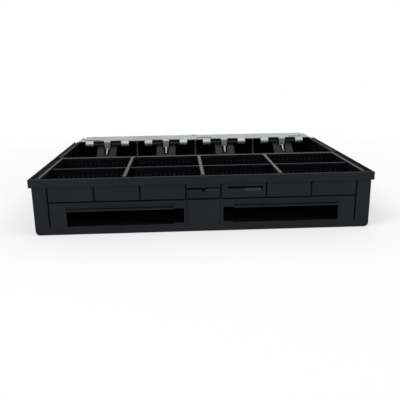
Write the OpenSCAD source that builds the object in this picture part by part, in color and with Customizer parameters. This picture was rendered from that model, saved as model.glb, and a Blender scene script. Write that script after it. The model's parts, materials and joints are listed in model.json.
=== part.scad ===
// Cash drawer insert: a black moulded tray with a lift-out coin tray in front, four note bays behind it,
// and a steel bar across the rear that carries four sprung note clips.
// Sizes are in millimetres. +X is to the right, +Y to the rear, +Z up.
// The origin is at the centre of the flat underside.

/* [Tray] */
// Width over the rim flange
tray_w = 390; // [370:1:440]
// Depth from the front rim to the rear rim
tray_d = 316; // [306:1:380]
// Height of the rim above the underside
tray_h = 65; // [63:0.5:80]
// Thickness of the front and rear walls
wall_t = 2.8; // [2.4:0.1:4]
// Thickness of the side walls beside the notes
side_t = 6.5; // [4.8:0.1:8]
// Thickness of the side walls beside the coin tray
coin_side_t = 5.7; // [4:0.1:7]
// Thickness of the floor
floor_t = 2.6; // [1.6:0.1:4]
// Thickness of the cross wall between coins and notes
cross_t = 4.6; // [3:0.1:7]
// Radius along the lower side edges
base_r = 5; // [1:0.5:8]

/* [Rim] */
// How far the flange stands out at the sides
rim_out = 3.2; // [2.4:0.1:5]
// How far the rim stands out at the front and rear
rim_lip = 0.8; // [0.4:0.1:1.5]
// Height of the flange
rim_drop = 9.2; // [6:0.1:10]
// Width of the lip along the flange's outer edge
rim_edge = 1.8; // [1:0.1:2.4]
// Depth of the channel inside that lip
rim_channel_d = 2; // [0.5:0.1:3]
// Width of the flat rim beside the notes
rim_flat = 5.4; // [4:0.1:6]

/* [Front panel] */
// Width of the two corner columns
column_w = 16.8; // [10:0.2:24]
// Width of the centre panel
centre_panel_w = 40; // [38:0.5:44]
// Number of upper panels on each side of the centre
side_panels = 3; // [1:1:5]
// Height of the lower edge of the upper panels
panel_z = 39; // [37:0.5:40]
// Height at which the upright grooves start
groove_foot_z = 8.8; // [4:0.2:10]
// Width of the panel grooves
groove_w = 1.9; // [0.8:0.1:2.5]
// Depth of the panel grooves
groove_d = 1.5; // [0.8:0.1:1.8]

/* [Media slots] */
// Height of the slots' lower edge
slot_z = 9.3; // [8:0.1:11]
// Height of the slots
slot_h = 17.6; // [12:0.1:18]
// Distance from the centre to the inner end of each slot
slot_inner_x = 22.5; // [21:0.5:28]
// Distance from the side wall to the outer end of each slot
slot_margin = 36.3; // [28:0.1:60]
// Length of the plain stretch at the inner end
slot_end_l = 12; // [6:0.5:20]
// How much higher that plain stretch sits
slot_end_rise = 1.2; // [0:0.1:2]
// Height of the lip above the rest of the slot
slot_lip_h = 2.1; // [1.6:0.1:4]
// Height of the sloping scoop above the lip
scoop_h = 6.4; // [3:0.1:7]
// Depth of the scoop at its lower edge
scoop_d = 1.7; // [0.8:0.1:2]

/* [Small front slots] */
// Width of the key recess in the centre panel
key_recess_w = 37; // [30:0.5:37.5]
// Height of the key recess
key_recess_h = 12.6; // [10:0.2:15]
// Depth of the key recess
key_recess_d = 1.4; // [0.6:0.1:1.8]
// Height of the slit along the top of the key recess, left of the notch
key_slit_h = 3.2; // [1.2:0.1:3.8]
// Height of that slit right of the notch
key_slit_right_h = 2.1; // [1.2:0.1:3.8]
// Width of the notch at the top of the key recess
key_notch_w = 5; // [3:0.5:8]
// Height of that notch
key_notch_h = 5.2; // [4:0.1:6]
// Distance from the centre to the tag slot
tag_slot_x = 27.7; // [25:0.1:30]
// Length of the tag slot
tag_slot_l = 40; // [30:0.5:42]
// Height of the lower edge of the tag slot
tag_slot_z = 46.6; // [42:0.1:48]
// Height of the open part of the tag slot
tag_slot_h = 2.6; // [1.6:0.1:3]
// Height of the ledge below it
tag_ledge_h = 2.9; // [2:0.1:3.4]
// Length of that ledge
tag_ledge_l = 21; // [10:0.5:26]
// Depth of that ledge's slope at its top
tag_ledge_d = 2.2; // [0.8:0.1:2.3]
// Width of the open end beside the ledge
tag_end_w = 1.8; // [1:0.1:3]

/* [Coin tray] */
// Outer depth of the coin tray
coin_d = 124.6; // [110:0.2:136]
// Thickness of the walls between the troughs
coin_wall = 3.6; // [3:0.1:5]
// Thickness of the outer walls
coin_edge_wall = 2.8; // [2.2:0.1:4]
// Clear width of the two middle cups
inner_cup_w = 85.5; // [75:0.1:88]
// Height of the ledges that the coin tray rests on
media_h = 29.2; // [28:0.1:34]
// Width of those ledges
ledge_w = 4; // [3:0.1:8]
// Thickness of those ledges
ledge_t = 3; // [2:0.1:5]
// Thickness of the wall between the two media spaces
partition_t = 2.4; // [1.6:0.1:4]
// Thickness under the cups
coin_floor_t = 2.4; // [1.6:0.1:4]
// Radius of the scoops at the front and rear of each trough
cove_r = 14; // [6:0.5:20]
// Radius of the troughs' upright corners
cup_corner_r = 3; // [1:0.5:6]
// Clearance all round the coin tray
coin_fit = 0.4; // [0.2:0.1:0.8]
// Thickness of the drop-in coin dividers
coin_divider_t = 3; // [2:0.1:4]
// How far the coin dividers stay below the rim
coin_divider_drop = 1.5; // [0:0.1:4]
// How far the coin tray's front wall stays below the rim
coin_front_drop = 1; // [0.5:0.1:3]
// Depth of the guide grooves for the coin dividers
guide_groove_d = 1; // [0.6:0.1:1.2]

/* [Note bays] */
// Thickness of the note dividers
bay_divider_t = 2.6; // [2:0.1:4]
// Height of the low stretch of the note dividers above the floor
bay_divider_h = 27.4; // [20:0.2:28]
// How far the dividers' posts stand ahead of the bar
post_ahead = 5; // [2:0.5:10]
// Radius of the sweep from the low stretch up to the post
sweep_r = 30; // [15:1:31]
// Thickness of the cheeks that hold a divider
cheek_t = 3; // [2:0.1:4]
// Length of the front cheeks
front_cheek_l = 5; // [3:0.5:10]
// Depth of the rear pillars
pillar_d = 16.4; // [16:0.1:20]
// Depth of the divider slot in a rear pillar
pillar_slot_d = 7; // [4:0.1:7]
// Clearance of a divider in its slot, each side
slot_fit = 0.2; // [0.1:0.05:0.4]

/* [Clip bar] */
// Depth of the bar from the front of its knuckles to the rear rim
bar_d = 52.3; // [46:0.1:58]
// Thickness of the sheet
bar_t = 1.3; // [1:0.1:1.6]
// How far the bar's ends stay inside the flange's outer edges
bar_inset = 7.5; // [7:0.1:8]
// Size of the clipped rear corners
bar_corner = 10; // [2:0.5:12]
// Distance between the two knuckles of a pair
knuckle_pitch = 56.6; // [54:0.2:62]
// Width of a knuckle
knuckle_w = 11.9; // [10:0.1:14]
// Angle through which a knuckle is rolled
knuckle_roll = 295; // [270:1:310]
// Gap between a knuckle and the sheet beside it
knuckle_relief = 0.8; // [0.4:0.1:1.5]
// Width of a tongue at the bar
tongue_w = 10; // [9:0.2:11.4]
// Width of a tongue at its tip
tongue_tip_w = 7.6; // [6:0.2:9]
// How far a tongue hangs below the rod's axis
tongue_drop = 7; // [6.6:0.1:8]
// Inner radius of the tongue's bend
bend_r = 0.7; // [0.4:0.1:1]
// How far behind the rod's axis the sheet is cut back between a tongue and its knuckles
edge_cut_back = 1.5; // [0.5:0.1:2]
// Width of the three slots in the bar
slit_w = 6.5; // [3:0.1:7]
// How far the sheet's front edge stays behind the front of the knuckles
bar_edge_back = 1.5; // [0.5:0.1:4]
// How much farther apart the clips stand than the bays
clip_spread = 1.1; // [-1:0.1:2.5]

/* [Clip rods] */
// Diameter of a clip rod where the clip turns on it
rod_d = 4.2; // [3.8:0.1:4.6]
// Diameter of a rod's thicker ends, which sit in the knuckles
rod_end_d = 7.3; // [7:0.1:7.6]
// Running clearance round a rod
rod_fit = 0.05; // [0.03:0.01:0.1]
// How far a rod stands out of its knuckles
rod_out = 0.8; // [0.6:0.1:2]

/* [Note clips] */
// Width of a clip's arm
clip_w = 30; // [28:0.5:38]
// Thickness of the arm
clip_t = 3; // [2.4:0.1:3.6]
// Slope of the arm at the rod, in degrees
clip_slope_start = 22; // [18:1:25]
// Slope of the arm at its tip, in degrees
clip_slope_end = 46; // [42:1:55]
// Width of the opening that passes the tongue
clip_slot_w = 12.6; // [12:0.2:14]
// Width of the slot for the spring ahead of that opening
spring_slot_w = 8.4; // [6:0.2:9]
// Depth of the stiffening flanges under the arm
flange_h = 4; // [2:0.2:6]
// Thickness of those flanges
flange_t = 2; // [1.4:0.1:3]
// How far the flanges stand in from the arm's edges
flange_inset = 0.4; // [0.2:0.1:2]
// Angle of the arm's curve left without flanges at the rod
flange_start_angle = 1; // [0.5:0.1:2]
// Angle of the arm's curve left without flanges at the tip
flange_end_angle = 7; // [5:1:12]
// Radius of the rounded corners at the tip
tip_r = 8; // [4:0.5:12]
// Radius of the bead along the tip
tip_bead_r = 2.2; // [1.8:0.1:3]
// Gap between the tip and the floor of an empty bay
tip_gap = 0.5; // [0.3:0.1:2]
// Wall of a clip's hubs
hub_t = 0.95; // [0.8:0.05:1]
// Gap between a clip's hubs and the knuckles
hub_gap = 0.35; // [0.2:0.05:1]

/* [Clip springs] */
// Diameter of the spring wire
wire_d = 0.7; // [0.6:0.05:0.75]
// Mean radius of the coils
coil_r = 1.25; // [1:0.05:1.5]
// Distance from coil to coil
coil_pitch = 1.25; // [1.2:0.05:1.6]
// Radius of the end hooks
hook_r = 1.75; // [1.6:0.05:2]
// Distance of the spring peg ahead of the rod
peg_ahead = 19.5; // [18:0.5:23]

/* [Bar screws] */
// Diameter of the thread
screw_d = 3.5; // [3:0.1:4]
// Length under the head
screw_l = 12; // [8:0.5:16]
// Diameter of the head
head_d = 7.6; // [6.5:0.1:8]
// Height of the head
head_h = 2.4; // [1.8:0.1:3]
// Distance of the middle screw from the rear rim
screw_inset = 8; // [7.5:0.1:8.5]
// Distance of the end screws from the rear rim
end_screw_back = 24; // [20:0.5:26]
// Distance of the end screws from the sides of the flange
end_screw_inset = 12; // [11.8:0.1:13]

/* [Hidden] */
$fn = 48;
bays = 4;
// Play between faces that rest on each other, and how far a cut runs past the face that it opens
seat_gap = 0.1;
past = 1;

// Planes of the tub
front_y = -tray_d / 2;
rear_y = tray_d / 2;
body_w = tray_w - 2 * rim_out;
body_front = front_y + rim_lip;
body_rear = rear_y - rim_lip;
front_in = body_front + wall_t;
rear_in = body_rear - wall_t;
bay_in = body_w / 2 - side_t;
coin_in = body_w / 2 - coin_side_t;
flange_z = tray_h - rim_drop;

// Coin tray, cross wall and the troughs' edges
coin_x = coin_in - coin_fit;
coin_front = front_in + coin_fit;
coin_rear = coin_front + coin_d;
cross_front = coin_rear + coin_fit;
cross_rear = cross_front + cross_t;
coin_base = media_h + seat_gap;
cup_floor = coin_base + coin_floor_t;
row_y = (coin_front + coin_rear) / 2;
outer_cup_x = inner_cup_w + 1.5 * coin_wall;
troughs = [[-coin_x + coin_edge_wall, -outer_cup_x], [-inner_cup_w - coin_wall / 2, -coin_wall / 2],
    [coin_wall / 2, inner_cup_w + coin_wall / 2], [outer_cup_x, coin_x - coin_edge_wall]];

// Note bays
bay_pitch = (2 * bay_in + bay_divider_t) / bays;
clip_pitch = bay_pitch + clip_spread;
divider_slot_w = bay_divider_t + 2 * slot_fit;
low_z = floor_t + bay_divider_h;
pillar_w = divider_slot_w + 2 * cheek_t;
slot_end_y = rear_in - pillar_d + pillar_slot_d;

// Rods, knuckles and tongues; the distances ahead of the rod's axis are measured towards the front
bar_front = rear_y - bar_d;
bar_top = tray_h + bar_t;
bore_r = rod_end_d / 2 + rod_fit;
knuckle_r = bore_r + bar_t;
hub_bore_r = rod_d / 2 + rod_fit;
hub_r = hub_bore_r + hub_t;
pivot_y = bar_front + knuckle_r;
bar_x = tray_w / 2 - bar_inset;
end_screw_x = tray_w / 2 - end_screw_inset;
end_screw_y = rear_y - end_screw_back;
pivot_z = tray_h - bore_r;
tongue_gap = 0.3;
tongue_back = hub_r + tongue_gap;
tongue_front = tongue_back + bar_t;
bend_ahead = tongue_front - bend_r - bar_t;
hook_hole_d = 2.2;
hook_hole_edge = 1.1;
hook_hole_z = -tongue_drop + hook_hole_edge + hook_hole_d / 2;
screw_clearance = 0.2;
thread_fit = 0.05;

// Note clip: a curved arm that hangs from two hubs and ends just above the floor
hub_from = 140;
hub_to = 380;
knuckle_inner_x = knuckle_pitch / 2 - knuckle_w / 2;
hub_end_x = knuckle_inner_x - hub_gap;
arm_gap = 0.3;
arm_back = 3;
arm_below = hub_bore_r + arm_gap + clip_t;
arm_start = [-arm_below * sin(clip_slope_start) - arm_back * cos(clip_slope_start),
    -arm_below * cos(clip_slope_start) + arm_back * sin(clip_slope_start)];
tip_rise = tip_bead_r - clip_t / 2 * cos(clip_slope_end);
arm_end_z = floor_t + tip_gap + tip_rise - pivot_z;
arm_r = (arm_start[1] - arm_end_z) / (cos(clip_slope_start) - cos(clip_slope_end));
arm_centre = arm_start - arm_r * [sin(clip_slope_start), cos(clip_slope_start)];
arm_mid_r = arm_r + clip_t / 2;
// The round of the tip's corners starts this far outside them, so that it crosses the arm's faces at an angle
tip_ease = 0.6;
tip_mid = arm_centre + arm_mid_r * [sin(clip_slope_end), cos(clip_slope_end)];
peg_clearance = 0.25;
peg_r = hook_r - wire_d / 2 - peg_clearance;
peg_angle = asin((peg_ahead - arm_centre[0]) / arm_mid_r);
peg = arm_centre + arm_mid_r * [sin(peg_angle), cos(peg_angle)];
slot_ahead = peg_ahead + hook_r + wire_d + 2;
// A tongue stays nearer to the rod's axis than this, however far the clip is turned
tongue_reach = norm([tongue_front, tongue_drop]);

// Clip spring: hook, coils and hook as one wire in the plane through the middle of the clip
hook_wrap = 200;
hook_step = 25;
coil_steps = 8;
wire_sides = 6;
coil_lead = 2.2;
hook_centre = [(tongue_back + tongue_front) / 2, hook_hole_z - hook_r];
spring_l = norm(peg - hook_centre);
spring_angle = atan2(peg[1] - hook_centre[1], peg[0] - hook_centre[0]);
coil_turns = floor((spring_l - 2 * coil_lead) / coil_pitch);
coil_start = (spring_l - coil_turns * coil_pitch) / 2;

// Middle of a bay or clip, and middle of a note divider, counted from the left
function clip_x(i) = (i - (bays - 1) / 2) * clip_pitch;
function divider_x(i) = (i - (bays - 2) / 2) * bay_pitch;
function unit(v) = v / norm(v);
// A direction in the plane across the rod: 0 degrees points to the front and 90 degrees up
function ahead(angle) = [0, -cos(angle), sin(angle)];
function in_plane(p) = [0, -p[0], p[1]];

wire_line = unit(in_plane(peg - hook_centre));
wire_up = ahead(spring_angle + 90);
rear_hook = [for (k = [hook_wrap : -hook_step : 0])
    in_plane(hook_centre) + hook_r * ahead(spring_angle + 90 + k)];
coils = [for (i = [0 : coil_turns * coil_steps])
    let (turn = 360 * i / coil_steps)
    in_plane(hook_centre) + wire_line * (coil_start + coil_pitch * i / coil_steps)
        + wire_up * (hook_r - coil_r + coil_r * cos(turn)) + [coil_r * sin(turn), 0, 0]];
front_hook = [for (k = [0 : hook_step : hook_wrap])
    in_plane(peg) + hook_r * ahead(spring_angle + 90 - k)];
wire_path = concat([rear_hook[0] - wire_d * ahead(spring_angle + hook_wrap)], rear_hook, coils, front_hook,
    [front_hook[len(front_hook) - 1] + wire_d * ahead(spring_angle - hook_wrap)]);

// Least free gap of the wire to itself, measured between points more than half a coil apart
wire_gap = min([for (i = [0 : len(wire_path) - 1])
    for (j = [i + coil_steps / 2 + 1 : 1 : len(wire_path) - 1])
        norm(wire_path[i] - wire_path[j])]) - wire_d;
echo(str("least gap of a clip spring to itself: ", wire_gap, " mm"));

// Part of a ring round an axis along X, between two angles measured as in ahead()
module arc_x(r_in, r_out, length, from, to) {
    rotate([0, 90, 0])
        rotate([0, 0, 270 - to])
            rotate_extrude(angle = to - from)
                translate([r_in, -length / 2])
                    square([r_out - r_in, length]);
}

module rod_x(r, length) {
    rotate([0, 90, 0])
        cylinder(r = r, h = length, center = true);
}

// A box between two corners
module box(low, high) {
    translate(low)
        cube(high - low);
}

// A tube of straight facets along a list of points, with its cross-section carried along without twist
module wire(path, r, sides) {
    last = len(path) - 1;
    along = [for (i = [0 : last]) unit(path[min(i + 1, last)] - path[max(i - 1, 0)])];
    across = [for (i = 0, n = [1, 0, 0]; i <= last; i = i + 1,
        n = unit(n - (n * along[min(i, last)]) * along[min(i, last)])) n];
    rings = [for (i = [0 : last]) for (k = [0 : sides - 1])
        path[i] + r * (across[i] * cos(360 * k / sides) + cross(along[i], across[i]) * sin(360 * k / sides))];
    walls = [for (i = [0 : last - 1]) for (k = [0 : sides - 1])
        let (a = i * sides + k, b = i * sides + (k + 1) % sides)
        each [[a, a + sides, b + sides], [a, b + sides, b]]];
    first_cap = [for (k = [1 : sides - 2]) [0, k, k + 1]];
    last_cap = [for (k = [1 : sides - 2]) [last * sides, last * sides + k + 1, last * sides + k]];
    polyhedron(points = rings, faces = concat(walls, first_cap, last_cap));
}

// Tub without its inner fittings
module tub_shell() {
    difference() {
        union() {
            translate([0, body_rear, 0])
                rotate([90, 0, 0])
                    linear_extrude(body_rear - body_front)
                        difference() {
                            translate([-body_w / 2, 0])
                                square([body_w, tray_h]);
                            for (side = [0, 1])
                                mirror([side, 0])
                                    difference() {
                                        translate([body_w / 2 - base_r, -past])
                                            square([base_r + past, base_r + past]);
                                        translate([body_w / 2 - base_r, base_r])
                                            circle(base_r);
                                    }
                        }
            box([-tray_w / 2, front_y, flange_z], [tray_w / 2, rear_y, tray_h]);
        }
        box([-bay_in, cross_rear, floor_t], [bay_in, rear_in, tray_h + past]);
        box([-coin_in, front_in, floor_t], [coin_in, cross_front, tray_h + past]);
        for (side = [0, 1])
            mirror([side, 0]) {
                rim_channel();
                rim_end();
            }
    }
}

// Channel inside the flange's outer lip, wider beside the coin tray
module rim_channel() {
    edge_x = tray_w / 2 - rim_edge;
    box([coin_in - past, front_in, tray_h - rim_channel_d], [edge_x, cross_rear, tray_h + past]);
    box([bay_in + rim_flat, front_in, tray_h - rim_channel_d], [edge_x, pivot_y + past, tray_h + past]);
}

// The flange stops at the bar, behind which the rim is only as wide as the bar
module rim_end() {
    box([bar_x, pivot_y, flange_z], [tray_w / 2 + past, rear_y + past, tray_h + past]);
}

// Ledges and middle wall that carry the coin tray above the media spaces
module coin_seat() {
    for (side = [0, 1])
        mirror([side, 0])
            box([coin_in - ledge_w, front_in - past, media_h - ledge_t],
                [coin_in + past, cross_front + past, media_h]);
    box([-partition_t / 2, front_in - past, 0.5 * floor_t], [partition_t / 2, cross_front + past, media_h]);
}

// Cheeks on the cross wall and pillars on the rear wall that hold the note dividers
module divider_holders() {
    for (i = [0 : bays - 2])
        translate([divider_x(i), 0, 0])
            difference() {
                union() {
                    box([-pillar_w / 2, cross_rear - past, 0.5 * floor_t],
                        [pillar_w / 2, cross_rear + front_cheek_l, low_z]);
                    box([-pillar_w / 2, rear_in - pillar_d, 0.5 * floor_t],
                        [pillar_w / 2, rear_in + past, tray_h]);
                }
                box([-divider_slot_w / 2, cross_rear, floor_t],
                    [divider_slot_w / 2, slot_end_y, tray_h + past]);
            }
}

// Places of the bar screws: one in the middle and one at each end
module at_screws() {
    translate([0, rear_y - screw_inset, 0])
        children();
    for (side = [-1, 1])
        translate([side * end_screw_x, end_screw_y, 0])
            children();
}

// Short bosses on the side walls, under the ends of the bar
module end_bosses() {
    boss_r = 1.4 * screw_d;
    boss_l = screw_l + 1.2;
    for (side = [0, 1])
        mirror([side, 0])
            intersection() {
                translate([end_screw_x, end_screw_y, tray_h - boss_l])
                    cylinder(r = boss_r, h = boss_l);
                box([bay_in - 3 * boss_r, end_screw_y - 2 * boss_r, 0],
                    [(bay_in + bar_x) / 2, end_screw_y + 2 * boss_r, tray_h]);
            }
}

// Shallow grooves that divide the front wall into panels
module front_grooves() {
    column_x = body_w / 2 - column_w;
    panel_pitch = (column_x - centre_panel_w / 2) / side_panels;
    groove_back = body_front + groove_d;
    for (side = [0, 1])
        mirror([side, 0]) {
            box([column_x - groove_w / 2, body_front - past, groove_foot_z],
                [column_x + groove_w / 2, groove_back, flange_z]);
            for (i = [0 : side_panels - 1])
                translate([centre_panel_w / 2 + i * panel_pitch, 0, 0])
                    box([-groove_w / 2, body_front - past, panel_z], [groove_w / 2, groove_back, flange_z]);
            box([centre_panel_w / 2 - groove_w, body_front - past, groove_foot_z],
                [centre_panel_w / 2, groove_back, panel_z]);
        }
    box([-column_x, body_front - past, panel_z - groove_w], [column_x, groove_back, panel_z]);
}

// One media slot on the right: a long opening with a lip and a scoop above it, and a plain inner end
module media_slot() {
    slot_outer_x = body_w / 2 - slot_margin;
    lip_x = slot_inner_x + slot_end_l;
    lip_z = slot_z + slot_h + slot_lip_h;
    box([slot_inner_x, body_front - past, slot_z + slot_end_rise],
        [lip_x, front_in + past, slot_z + slot_h + slot_end_rise]);
    box([lip_x - past, body_front - past, slot_z], [slot_outer_x, front_in + past, slot_z + slot_h]);
    translate([lip_x, 0, 0])
        rotate([90, 0, 90])
            linear_extrude(slot_outer_x - lip_x)
                polygon([[body_front, lip_z + scoop_h], [body_front + scoop_d, lip_z],
                    [body_front - past, lip_z], [body_front - past, lip_z + scoop_h]]);
}

// Key recess with its slit and notch in the centre panel, and to its right the tag slot with a sloping ledge
module small_front_slots() {
    recess_top = panel_z + key_recess_h;
    box([-key_recess_w / 2, body_front - past, panel_z],
        [key_recess_w / 2, body_front + key_recess_d, recess_top]);
    box([-key_recess_w / 2, body_front - past, recess_top - key_slit_h],
        [0, front_in + past, recess_top]);
    box([-0.25 * key_notch_w, body_front - past, recess_top - key_slit_right_h],
        [key_recess_w / 2, front_in + past, recess_top]);
    box([-key_notch_w / 2, body_front - past, recess_top - key_notch_h],
        [key_notch_w / 2, front_in + past, recess_top]);
    open_z = tag_slot_z + tag_ledge_h;
    box([tag_slot_x, body_front - past, open_z],
        [tag_slot_x + tag_slot_l, front_in + past, open_z + tag_slot_h]);
    tag_end_x = tag_slot_x + tag_slot_l - tag_end_w;
    box([tag_end_x, body_front - past, tag_slot_z],
        [tag_slot_x + tag_slot_l, front_in + past, open_z + 0.5 * tag_slot_h]);
    translate([tag_slot_x + tag_slot_l - tag_ledge_l, 0, 0])
        rotate([90, 0, 90])
            linear_extrude(tag_ledge_l - 0.5 * tag_end_w)
                polygon([[body_front, tag_slot_z], [body_front + tag_ledge_d, open_z],
                    [body_front + tag_ledge_d, open_z + 0.5 * tag_slot_h],
                    [body_front - past, open_z + 0.5 * tag_slot_h], [body_front - past, tag_slot_z]]);
}

module outer_tray() {
    color("#24262a")
        difference() {
            union() {
                tub_shell();
                coin_seat();
                divider_holders();
                end_bosses();
            }
            front_grooves();
            for (side = [0, 1])
                mirror([side, 0])
                    media_slot();
            small_front_slots();
            at_screws()
                translate([0, 0, bar_top - screw_l - past])
                    cylinder(d = screw_d + 2 * thread_fit, h = screw_l + 2 * past);
        }
}

// Hollow of one trough: scooped at both ends and with rounded upright corners
module trough(left, right) {
    trough_front = coin_front + coin_edge_wall;
    trough_l = coin_d - 2 * coin_edge_wall;
    depth = tray_h - cup_floor + past;
    intersection() {
        translate([left, 0, 0])
            rotate([90, 0, 90])
                linear_extrude(right - left)
                    translate([trough_front, cup_floor])
                        difference() {
                            square([trough_l, depth]);
                            cove_corner();
                            translate([trough_l, 0])
                                mirror([1, 0])
                                    cove_corner();
                        }
        translate([left, trough_front, cup_floor])
            linear_extrude(depth)
                difference() {
                    square([right - left, trough_l]);
                    for (x = [0, 1], y = [0, 1])
                        translate([x * (right - left), y * trough_l])
                            mirror([x, 0])
                                mirror([0, y])
                                    round_corner(cup_corner_r);
                }
    }
}

// What a rounded corner takes away from a square one
module round_corner(r) {
    difference() {
        translate([-past, -past])
            square([r + past, r + past]);
        translate([r, r])
            circle(r);
    }
}

module cove_corner() {
    round_corner(cove_r);
}

// Plan of a coin divider in its trough; grow widens it into the guide grooves
module coin_divider_block(i, grow, foot, top) {
    reach = guide_groove_d + grow - slot_fit;
    half_t = coin_divider_t / 2 + grow;
    box([troughs[i][0] - reach, row_y - half_t, foot], [troughs[i][1] + reach, row_y + half_t, top]);
}

module coin_tray() {
    color("#27292d")
        difference() {
            box([-coin_x, coin_front, coin_base], [coin_x, coin_rear, tray_h]);
            for (i = [0 : bays - 1]) {
                trough(troughs[i][0], troughs[i][1]);
                coin_divider_block(i, slot_fit, cup_floor, tray_h + past);
            }
            box([-coin_x - past, coin_front - past, tray_h - coin_front_drop],
                [coin_x + past, coin_front + coin_edge_wall + past, tray_h + past]);
        }
}

module coin_divider(i) {
    color("#2c2e33")
        coin_divider_block(i, 0, cup_floor + seat_gap, tray_h - coin_divider_drop);
}

// Note divider: low in front, then swept up to a post that stands under the bar
module note_divider(i) {
    plate_front = cross_rear + slot_fit;
    plate_rear = slot_end_y - slot_fit;
    post_front = bar_front - post_ahead;
    plate_top = tray_h - seat_gap;
    color("#24262a")
        translate([divider_x(i) - bay_divider_t / 2, 0, 0])
            rotate([90, 0, 90])
                linear_extrude(bay_divider_t) {
                    translate([plate_front, floor_t])
                        square([plate_rear - plate_front, low_z - floor_t]);
                    translate([post_front, floor_t])
                        square([plate_rear - post_front, plate_top - floor_t]);
                    translate([post_front, low_z])
                        mirror([1, 0])
                            intersection() {
                                round_corner(sweep_r);
                                square([sweep_r, sweep_r]);
                            }
                }
}

// Plan of the flat sheet: clipped rear corners, notches for knuckles and tongues, screw holes and three slots
module bar_plan() {
    knuckle_notch_w = knuckle_w + 2 * knuckle_relief;
    edge_y = bar_front + bar_edge_back;
    difference() {
        polygon([[-bar_x, edge_y], [bar_x, edge_y],
            [bar_x, rear_y - bar_corner], [bar_x - bar_corner, rear_y],
            [-bar_x + bar_corner, rear_y], [-bar_x, rear_y - bar_corner]]);
        for (i = [0 : bays - 1])
            translate([clip_x(i), pivot_y]) {
                translate([-knuckle_inner_x, -knuckle_r - past])
                    square([2 * knuckle_inner_x, knuckle_r + past]);
                for (side = [0, 1])
                    mirror([side, 0]) {
                        translate([(knuckle_pitch - knuckle_notch_w) / 2, -knuckle_r - past])
                            square([knuckle_notch_w, knuckle_r + past]);
                        translate([tongue_w / 2, -past])
                            square([knuckle_inner_x - tongue_w / 2, edge_cut_back + past]);
                    }
            }
        at_screws()
            circle(d = screw_d + 2 * screw_clearance);
        bar_slit(clip_x(0) - knuckle_pitch / 2 + knuckle_w / 3, 1.85 * knuckle_w, 0.76 * knuckle_r);
        bar_slit(clip_x(2) - knuckle_pitch / 2 - knuckle_w / 4, 2.15 * knuckle_w, 1.86 * knuckle_r);
        bar_slit(clip_x(3) + knuckle_pitch / 2 - knuckle_w / 3, 1.85 * knuckle_w, 1.36 * knuckle_r);
    }
}

module bar_slit(x, length, behind) {
    translate([x - length / 2, pivot_y + behind])
        square([length, slit_w]);
}

// Two knuckles and the spring tongue of one clip, round the rod's axis
module bar_fittings() {
    for (side = [-1, 1])
        translate([side * knuckle_pitch / 2, 0, 0])
            arc_x(bore_r, knuckle_r, knuckle_w, 90 - knuckle_roll, 90);
    translate([0, 0, bore_r])
        linear_extrude(bar_t)
            translate([-tongue_w / 2, -bend_ahead])
                square([tongue_w, bend_ahead]);
    translate([0, -bend_ahead, bore_r - bend_r])
        arc_x(bend_r, bend_r + bar_t, tongue_w, 0, 90);
    translate([0, -tongue_back, 0])
        rotate([90, 0, 0])
            linear_extrude(bar_t)
                difference() {
                    polygon([[-tongue_w / 2, bore_r - bend_r], [-tongue_tip_w / 2, -tongue_drop],
                        [tongue_tip_w / 2, -tongue_drop], [tongue_w / 2, bore_r - bend_r]]);
                    translate([0, hook_hole_z])
                        circle(d = hook_hole_d);
                }
}

module clip_bar() {
    color("#b4b7b4") {
        translate([0, 0, tray_h])
            linear_extrude(bar_t)
                bar_plan();
        for (i = [0 : bays - 1])
            translate([clip_x(i), pivot_y, pivot_z])
                bar_fittings();
    }
}

module clip_rod(i) {
    chamfer = 0.5;
    length = knuckle_pitch + knuckle_w + 2 * rod_out;
    end_l = length / 2 - chamfer - knuckle_inner_x;
    color("#2d2e30")
        translate([clip_x(i), pivot_y, pivot_z]) {
            rod_x(rod_d / 2, 2 * knuckle_inner_x + 2 * past);
            for (side = [-1, 1]) {
                translate([side * (knuckle_inner_x + end_l / 2), 0, 0])
                    rod_x(rod_end_d / 2, end_l);
                translate([side * (length / 2 - chamfer), 0, 0])
                    rotate([0, side * 90, 0])
                        cylinder(r1 = rod_end_d / 2, r2 = rod_end_d / 2 - chamfer, h = chamfer);
            }
        }
}

// Arm of a clip between two depths of its curve and two slopes
module arm_arc(below, above, width, slope_from, slope_to) {
    translate(in_plane(arm_centre))
        arc_x(arm_r - below, arm_r + above, width, 90 - slope_to, 90 - slope_from, $fn = 5 * $fn);
}

// What the rounded tip takes away from the arm's square corners
module tip_corners() {
    tip_y = -tip_mid[0] - tip_bead_r - tip_ease;
    for (side = [0, 1])
        mirror([side, 0])
            translate([clip_w / 2 + tip_ease, tip_y, tip_mid[1] - 2 * tip_r])
                linear_extrude(4 * tip_r)
                    mirror([1, 0])
                        round_corner(tip_r);
}

module note_clip(i) {
    hub_l = hub_end_x - clip_slot_w / 2 + past;
    color("#1c1d20")
        translate([clip_x(i), pivot_y, pivot_z]) {
            difference() {
                union() {
                    for (side = [-1, 1])
                        translate([side * (hub_end_x - hub_l / 2), 0, 0])
                            arc_x(hub_bore_r, hub_r, hub_l, hub_from, hub_to);
                    arm_arc(0, clip_t, clip_w, clip_slope_start, clip_slope_end);
                    for (side = [-1, 1])
                        translate([side * (clip_w / 2 - flange_inset - flange_t / 2), 0, 0])
                            arm_arc(flange_h, clip_t / 2, flange_t, clip_slope_start + flange_start_angle,
                                clip_slope_end - flange_end_angle);
                    translate(in_plane(tip_mid))
                        rod_x(tip_bead_r, clip_w);
                }
                box([-clip_slot_w / 2, -tongue_reach, -arm_r], [clip_slot_w / 2, slot_ahead, arm_r]);
                box([-spring_slot_w / 2, -slot_ahead, -arm_r], [spring_slot_w / 2, 0, arm_r]);
                tip_corners();
            }
            translate(in_plane(peg))
                rod_x(peg_r, spring_slot_w + 2 * past);
        }
}

module clip_spring(i) {
    color("#d8dadc")
        translate([clip_x(i), pivot_y, pivot_z])
            wire(wire_path, wire_d / 2, wire_sides);
}

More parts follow.
